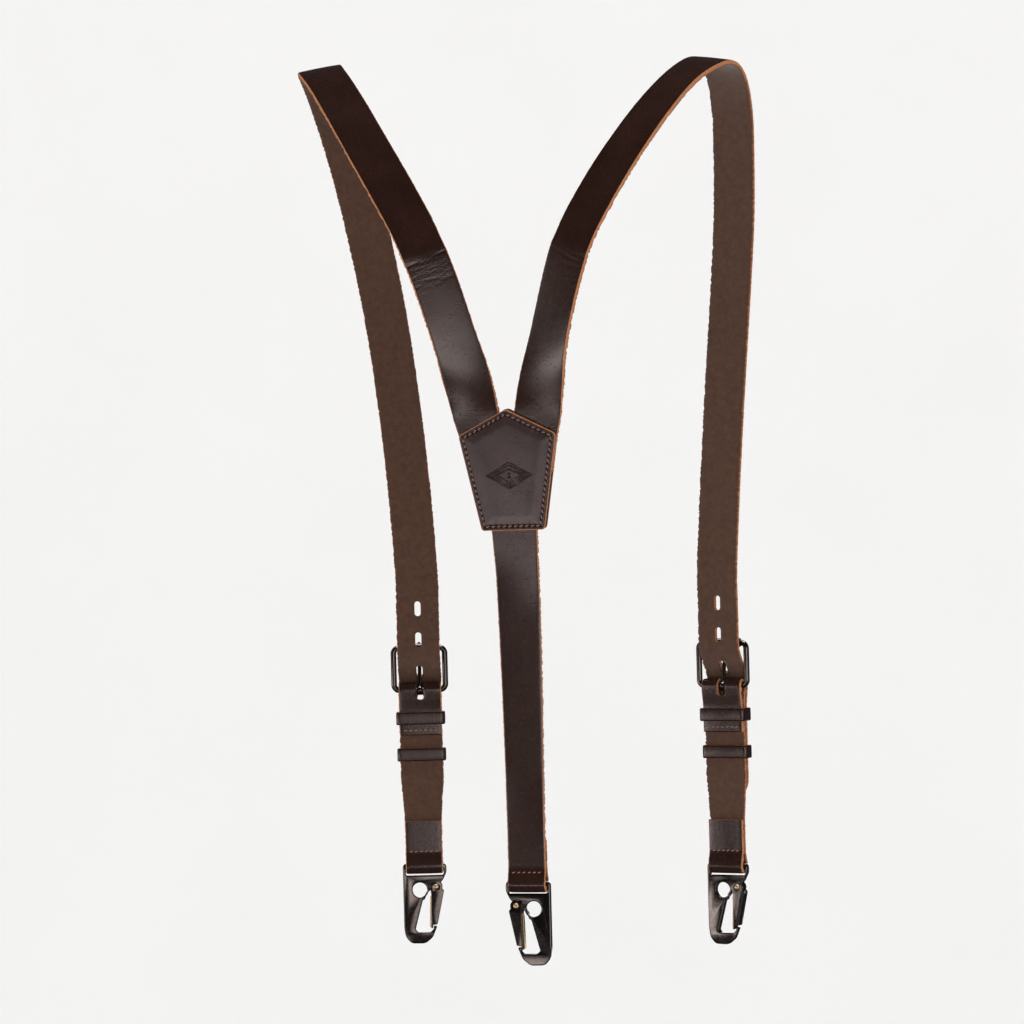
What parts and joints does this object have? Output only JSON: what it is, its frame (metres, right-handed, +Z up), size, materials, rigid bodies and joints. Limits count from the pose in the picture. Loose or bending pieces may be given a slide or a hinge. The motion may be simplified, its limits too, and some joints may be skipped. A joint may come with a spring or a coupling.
{
  "type": "leather suspenders",
  "caption": "Y-back leather braces: straps meet under a stitched five-sided yoke patch, buckles adjust the front, and sprung snap hooks clip to trouser belt loops.",
  "frame": {"origin": "midway between the wearer's shoulders, at the height of the straps where they cross the shoulders", "axes": "+Z up, +Y the way the wearer faces (front straps), +X the wearer's right"},
  "size_m": [0.3128, 0.1859, 0.615],
  "materials": {
    "leather": "smooth dark brown pull-up leather with a satin sheen and raw tan edges",
    "leather_backing": "unfinished brown suede side",
    "black_nickel": "polished black nickel plate",
    "brass": "bright nickel brass"
  },
  "bodies": {
    "harness": {"yoke_patch": "leather", "yoke_backing": "leather_backing", "left_shoulder_strap": "leather", "right_shoulder_strap": "leather", "back_strap": "leather", "left_drop_strap": "leather", "left_buckle_frame": "black_nickel", "left_fixed_keeper": "leather", "right_drop_strap": "leather", "right_buckle_frame": "black_nickel", "right_fixed_keeper": "leather"},
    "back_hook": {"back_hook_body": "black_nickel", "back_hook_rivet": "brass"},
    "back_gate": {"back_hook_gate": "black_nickel", "back_hook_spring": "brass"},
    "left_hook": {"left_hook_body": "black_nickel", "left_hook_rivet": "brass"},
    "left_gate": {"left_hook_gate": "black_nickel", "left_hook_spring": "brass"},
    "right_hook": {"right_hook_body": "black_nickel", "right_hook_rivet": "brass"},
    "right_gate": {"right_hook_gate": "black_nickel", "right_hook_spring": "brass"},
    "left_roller": {"left_buckle_roller": "black_nickel"},
    "left_prong": {"left_buckle_prong": "black_nickel"},
    "left_keeper": {"left_loose_keeper": "leather"},
    "right_roller": {"right_buckle_roller": "black_nickel"},
    "right_prong": {"right_buckle_prong": "black_nickel"},
    "right_keeper": {"right_loose_keeper": "leather"}
  },
  "joints": [
    {"name": "back_hook_swing", "type": "hinge", "parent": "harness", "child": "back_hook", "pos_m": [0, -0.02225, -0.553], "axis": [1, 0, 0], "range_deg": [-30, 30]},
    {"name": "back_gate_hinge", "type": "hinge", "parent": "back_hook", "child": "back_gate", "pos_m": [-0.008, -0.02225, -0.5679], "axis": [0, -1, 0], "range_deg": [0, 16], "stiffness_Nm_per_rad": 0.02, "springref_deg": -11.46},
    {"name": "left_hook_swing", "type": "hinge", "parent": "harness", "child": "left_hook", "pos_m": [-0.11, 0.106, -0.553], "axis": [-0.9703, -0.2419, 0], "range_deg": [-30, 30]},
    {"name": "left_gate_hinge", "type": "hinge", "parent": "left_hook", "child": "left_gate", "pos_m": [-0.10224, 0.10794, -0.5679], "axis": [-0.2419, 0.9703, 0], "range_deg": [0, 16], "stiffness_Nm_per_rad": 0.02, "springref_deg": -11.46},
    {"name": "right_hook_swing", "type": "hinge", "parent": "harness", "child": "right_hook", "pos_m": [0.11, 0.106, -0.553], "axis": [-0.9703, 0.2419, 0], "range_deg": [-30, 30]},
    {"name": "right_gate_hinge", "type": "hinge", "parent": "right_hook", "child": "right_gate", "pos_m": [0.11776, 0.10407, -0.5679], "axis": [0.2419, 0.9703, 0], "range_deg": [0, 16], "stiffness_Nm_per_rad": 0.02, "springref_deg": -11.46},
    {"name": "left_roller_spin", "type": "hinge", "parent": "harness", "child": "left_roller", "pos_m": [-0.11, 0.106, -0.398], "axis": [-0.9703, -0.2419, 0], "continuous": true},
    {"name": "left_prong_hinge", "type": "hinge", "parent": "harness", "child": "left_prong", "pos_m": [-0.11, 0.106, -0.428], "axis": [-0.9703, -0.2419, 0], "range_deg": [0, 5]},
    {"name": "left_keeper_slide", "type": "slide", "parent": "harness", "child": "left_keeper", "axis": [0, 0, 1], "range_m": [-0.035, 0.008]},
    {"name": "right_roller_spin", "type": "hinge", "parent": "harness", "child": "right_roller", "pos_m": [0.11, 0.106, -0.398], "axis": [-0.9703, 0.2419, 0], "continuous": true},
    {"name": "right_prong_hinge", "type": "hinge", "parent": "harness", "child": "right_prong", "pos_m": [0.11, 0.106, -0.428], "axis": [-0.9703, 0.2419, 0], "range_deg": [0, 5]},
    {"name": "right_keeper_slide", "type": "slide", "parent": "harness", "child": "right_keeper", "axis": [0, 0, 1], "range_m": [-0.035, 0.008]}
  ]
}
